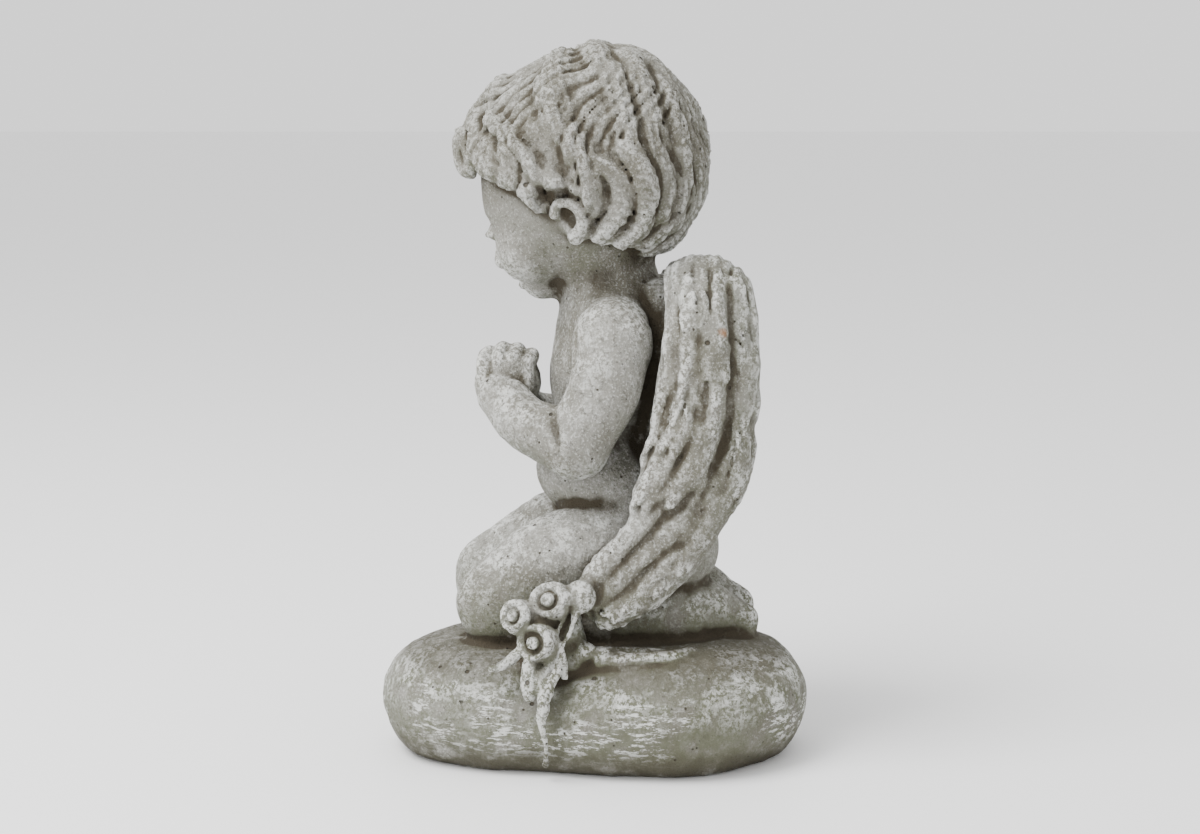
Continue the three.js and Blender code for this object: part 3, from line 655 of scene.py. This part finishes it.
def lumps(clay, size, seed):
    """Smooth random values from -1 to 1 all over the grid, in lumps of about size millimetres."""
    shape = [int(len(axis) * CELL / size) + 3 for axis in clay.axes]
    out = np.random.default_rng(seed).uniform(-1, 1, shape).astype(np.float32)
    for n, axis in enumerate(clay.axes):
        place = (axis - axis[0]) / size
        base = place.astype(int)
        part = ease(place - base, 0, 1).reshape([-1 if n == m else 1 for m in range(3)])
        out = mix(out.take(base, n), out.take(base + 1, n), part.astype(np.float32))
    return out


def weather(clay):
    """Roughens the whole surface, deepest where the wear is."""
    wear = blurred(clay.wear, 3)
    for seed, (size, depth) in enumerate(LUMPS):
        clay.values += lumps(clay, size, seed) * depth * wear


def fit_inside(points, low, high):
    """Draws points in, axis by axis, so that they stay between two corners."""
    least, most = points.min(0), points.max(0)
    new_least, new_most = np.maximum(least, low), np.minimum(most, high)
    return new_least + (points - least) * (new_most - new_least) / (most - least)


def mesh_object(name, points, polygons):
    mesh = bpy.data.meshes.new(name)
    mesh.from_pydata(points.tolist(), [], polygons.tolist())
    mesh.validate()
    mesh.shade_smooth()
    made = bpy.data.objects.new(name, mesh)
    bpy.context.scene.collection.objects.link(made)
    return made


def thin(made, triangles):
    """Collapses edges until the mesh has about this many triangles."""
    count = 2 * len(made.data.polygons)
    if count <= triangles:
        return
    modifier = made.modifiers.new("thin", "DECIMATE")
    modifier.ratio = triangles / count
    graph = bpy.context.evaluated_depsgraph_get()
    thinned = bpy.data.meshes.new_from_object(made.evaluated_get(graph))
    made.modifiers.clear()
    made.data = thinned


def statue(box):
    clay = Clay()
    for shape in (shape_base, shape_body, shape_arms, shape_folds, shape_wings, shape_head):
        shape(clay)
    for shape in (comb_hair, shape_bouquet, weather):
        shape(clay)
    clay.values = np.maximum(clay.values, -clay.axes[2][None, None, :])
    points, quads = outer_shell(*skin(clay))
    low, high = (np.array(corner) * 1000 for corner in box)
    made = mesh_object("angel_skin", fit_inside(points, low, high) / 1000, quads)
    thin(made, TRIANGLES)
    shade = np.array([v.co for v in made.data.vertices]) * 1000
    # Crease and hollow: the share of solid near each corner, at two reaches. The concrete paints shade and
    # soil where these are high.
    solid = np.clip(0.5 - clay.values / (2 * CELL), 0, 1)
    for name, reach in (("crease", 3), ("hollow", 12)):
        values = sample(blurred(solid, reach), clay, shade)
        made.data.attributes.new(name, "FLOAT", "POINT").data.foreach_set("value", values.astype(np.float32))
    return made


# ------------------------------------------------------------------ the concrete
class Shading:
    """Small helpers that add nodes to a material and return their outputs."""

    def __init__(self, name):
        self.material = bpy.data.materials.new(name)
        self.material.use_nodes = True
        self.nodes = self.material.node_tree.nodes
        self.links = self.material.node_tree.links
        self.shader = self.nodes["Principled BSDF"]
        self.place = self.node("ShaderNodeTexCoord").outputs["Object"]

    def node(self, kind, settings=None, **inputs):
        """A new node with its settings and inputs. An input goes by its name, or as _0, _1 by its number."""
        made = self.nodes.new(kind)
        for name, value in (settings or {}).items():
            setattr(made, name, value)
        for name, value in inputs.items():
            self.feed(made.inputs[int(name[1:]) if name[1:].isdigit() else name], value)
        return made

    def feed(self, socket, value):
        if isinstance(value, bpy.types.NodeSocket):
            self.links.new(value, socket)
        else:
            socket.default_value = value

    def math(self, operation, a, b=0.0):
        return self.node("ShaderNodeMath", {"operation": operation}, _0=a, _1=b).outputs[0]

    def band(self, value, low, high):
        """Rises smoothly from 0 at low to 1 at high, also where low is the greater of the two."""
        settings = {"interpolation_type": "SMOOTHSTEP"}
        return self.node("ShaderNodeMapRange", settings, Value=value, _1=low, _2=high).outputs[0]

    def attribute(self, name):
        return self.node("ShaderNodeAttribute", {"attribute_name": name}).outputs["Fac"]

    def noise(self, size, detail=3.0, rough=0.55, stretch=(1, 1, 1)):
        """Noise with features of about size millimetres, drawn out along an axis by stretch."""
        scale = tuple(1 / part for part in stretch)
        drawn = self.node("ShaderNodeVectorMath", {"operation": "MULTIPLY"}, _0=self.place, _1=scale)
        settings = {"Scale": 1000 / size, "Detail": detail, "Roughness": rough}
        return self.node("ShaderNodeTexNoise", None, Vector=drawn.outputs[0], **settings).outputs["Fac"]

    def spots(self, spacing, radius, share):
        """1 inside round spots, on that share of the points spacing apart, in millimetres."""
        made = self.node("ShaderNodeTexVoronoi", None, Vector=self.place, Scale=1000 / spacing)
        outside = self.band(made.outputs["Distance"], 0.6 * radius / spacing, radius / spacing)
        near = self.math("SUBTRACT", 1.0, outside)
        chosen = self.node("ShaderNodeSeparateColor", None, Color=made.outputs["Color"]).outputs[0]
        return self.math("MULTIPLY", near, self.math("LESS_THAN", chosen, share))

    def blend(self, share, a, b):
        """From colour a to colour b as share goes from 0 to 1."""
        made = self.node("ShaderNodeMix", {"data_type": "RGBA"}, Factor=share)
        self.feed(made.inputs[6], a)
        self.feed(made.inputs[7], b)
        return made.outputs[2]

    def times(self, *values):
        out = values[0]
        for value in values[1:]:
            out = self.math("MULTIPLY", out, value)
        return out


RUST_AT = (0.045, 0.041, 0.151)  # metres

# Base colours, linear.
PALE = (0.62, 0.625, 0.60, 1)
EARTHY_AND_SHADE = (0.10, 0.093, 0.07, 1)
LIGHT = (0.245, 0.24, 0.215, 1)
MIDDLE = (0.145, 0.138, 0.112, 1)
SAND = (0.075, 0.07, 0.055, 1)
ALGAE_AND_SHADE = (0.10, 0.105, 0.065, 1)
SOIL_AND_SHADE = (0.045, 0.037, 0.024, 1)
RUST = (0.36, 0.15, 0.05, 1)


def concrete():
    """Sandy cast concrete: speckled, worn pale on the ridges with painted highlights on upward faces, and
    dark with soil and painted shade in the hollows, low down, underneath and towards +Y, where it is tinted
    algae green.
    """
    cast = Shading("cast_concrete")
    times, band, blend, noise, calc = cast.times, cast.band, cast.blend, cast.noise, cast.math
    crease, hollow = cast.attribute("crease"), cast.attribute("hollow")
    _, y, z = cast.node("ShaderNodeSeparateXYZ", None, Vector=cast.place).outputs
    facing = cast.node("ShaderNodeNewGeometry").outputs["Normal"]
    up = cast.node("ShaderNodeSeparateXYZ", None, Vector=facing).outputs[2]
    broad, patch, grain, fine = noise(34, 4), noise(10, 5, 0.65), noise(2.2, 4, 0.75), noise(0.9, 2, 0.7)

    colour = blend(band(broad, 0.38, 0.62), MIDDLE, LIGHT)
    colour = blend(times(band(grain, 0.53, 0.66), 0.75), colour, SAND)
    colour = blend(times(band(fine, 0.52, 0.66), 0.4), colour, PALE)

    # Painted shade and splashed earth: the base is darker low down, and more so towards +Y, the side away
    # from the lamps.
    low = times(band(z, 0.075, 0.045), 0.75)
    colour = blend(times(low, band(y, -0.055, 0.0), 0.75), colour, EARTHY_AND_SHADE)
    aged = band(z, 0.165, 0.2)
    colour = blend(times(aged, 0.35), colour, EARTHY_AND_SHADE)
    # Painted shade with an algae tint: darker and greener in patches towards +Y, low down and on downward
    # faces.
    shaded_back = times(band(calc("ADD", y, calc("MULTIPLY", broad, 0.04)), 0.03, 0.075), 0.5)
    algae_and_shade = calc("MAXIMUM", calc("MAXIMUM", low, shaded_back), times(band(up, 0.0, -0.7), 0.5))
    colour = blend(times(algae_and_shade, band(patch, 0.32, 0.58)), colour, ALGAE_AND_SHADE)

    # Pale where ridges are worn, plus a painted highlight on upward faces outside the creases.
    ridge = times(band(crease, 0.49, 0.4), 0.9)
    sunlit = times(band(up, -0.35, 0.6), band(patch, 0.44, 0.56), band(crease, 0.55, 0.48), 0.8)
    not_aged = calc("SUBTRACT", 1.0, times(aged, 0.45))
    rubbed_and_lit = times(calc("MAXIMUM", ridge, sunlit), not_aged, band(noise(1.9, 5, 0.8), 0.45, 0.55))
    colour = blend(times(rubbed_and_lit, 0.9), colour, PALE)

    scratch = band(noise(2.2, 4, 0.8, (2.2, 3.4, 0.8)), 0.52, 0.58)
    rim = times(band(z, 0.043, 0.033), band(z, 0.004, 0.014), band(noise(22, 3), 0.46, 0.58))
    colour = blend(times(rim, scratch, 0.85), colour, PALE)

    # Painted shade and soil: darker in patches in creases and hollows, at the very bottom and on the base's
    # upward faces.
    grime_and_shade = calc("ADD", band(crease, 0.515, 0.6), times(band(hollow, 0.52, 0.78), 0.85))
    foot = times(band(calc("SUBTRACT", z, calc("MULTIPLY", patch, 0.02)), 0.004, -0.008), 0.8)
    ledge = times(band(up, 0.55, 0.95), band(z, 0.056, 0.042), 0.75)
    grime_and_shade = calc("MAXIMUM", calc("MAXIMUM", grime_and_shade, foot), ledge)
    colour = blend(times(grime_and_shade, band(patch, 0.22, 0.55), 0.9), colour, SOIL_AND_SHADE)

    pits = calc("MAXIMUM", cast.spots(4.5, 0.5, 0.5), cast.spots(11, 1.0, 0.5))
    colour = blend(times(pits, 0.9), colour, SOIL_AND_SHADE)
    stain = cast.node("ShaderNodeVectorMath", {"operation": "DISTANCE"}, _0=cast.place, _1=RUST_AT)
    colour = blend(times(band(stain.outputs["Value"], 0.0028, 0.0008), 0.7), colour, RUST)

    height = calc("ADD", times(grain, 0.9), times(fine, 0.45))
    height = calc("SUBTRACT", calc("ADD", height, times(patch, 1.2)), times(pits, 1.4))
    bump = cast.node("ShaderNodeBump", None, Strength=1.0, Distance=0.0012, Height=height)
    cast.feed(cast.shader.inputs["Base Color"], colour)
    cast.feed(cast.shader.inputs["Roughness"], 0.93)
    cast.feed(cast.shader.inputs["Specular IOR Level"], 0.25)
    cast.feed(cast.shader.inputs["Normal"], bump.outputs["Normal"])
    return cast.material


# ------------------------------------------------------------------ floor, lights and camera
def pale_floor():
    points = np.array([(-1, -1, 0), (1, -1, 0), (1, 1, 0), (-1, 1, 0)]) * 6
    floor = mesh_object("floor", points, np.array([(0, 1, 2, 3)]))
    material = bpy.data.materials.new("floor")
    material.use_nodes = True
    material.node_tree.nodes["Principled BSDF"].inputs["Base Color"].default_value = (0.9, 0.9, 0.9, 1)
    floor.data.materials.append(material)


def soft_light(name, at, size, power):
    lamp = bpy.data.lights.new(name, "AREA")
    lamp.size = size
    lamp.energy = power
    made = bpy.data.objects.new(name, lamp)
    made.location = at
    made.rotation_euler = (Vector((0, 0, 0.12)) - Vector(at)).to_track_quat("-Z", "Y").to_euler()
    bpy.context.scene.collection.objects.link(made)


def studio():
    pale_floor()
    soft_light("overhead", (0.35, -0.6, 1.1), 0.7, 24)
    soft_light("front", (1.2, -0.9, 0.7), 0.8, 8)
    world = bpy.data.worlds.new("studio")
    world.use_nodes = True
    world.node_tree.nodes["Background"].inputs["Color"].default_value = (1, 1, 1, 1)
    world.node_tree.nodes["Background"].inputs["Strength"].default_value = 1.35
    bpy.context.scene.world = world


def camera():
    lens = bpy.data.cameras.new("camera")
    lens.lens = 76.2
    lens.sensor_width = 36
    lens.clip_start = 0.05
    made = bpy.data.objects.new("camera", lens)
    made.location = (0.9, 0, 0.25)
    made.rotation_euler = (math.radians(90 - 8.486), 0, math.radians(90))
    bpy.context.scene.collection.objects.link(made)
    bpy.context.scene.camera = made


# ------------------------------------------------------------------ the scene
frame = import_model()
cad_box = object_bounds()
angel = statue(cad_box)
angel.data.materials.append(concrete())
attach(angel, "root")
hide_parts("angel_statue")
studio()
camera()
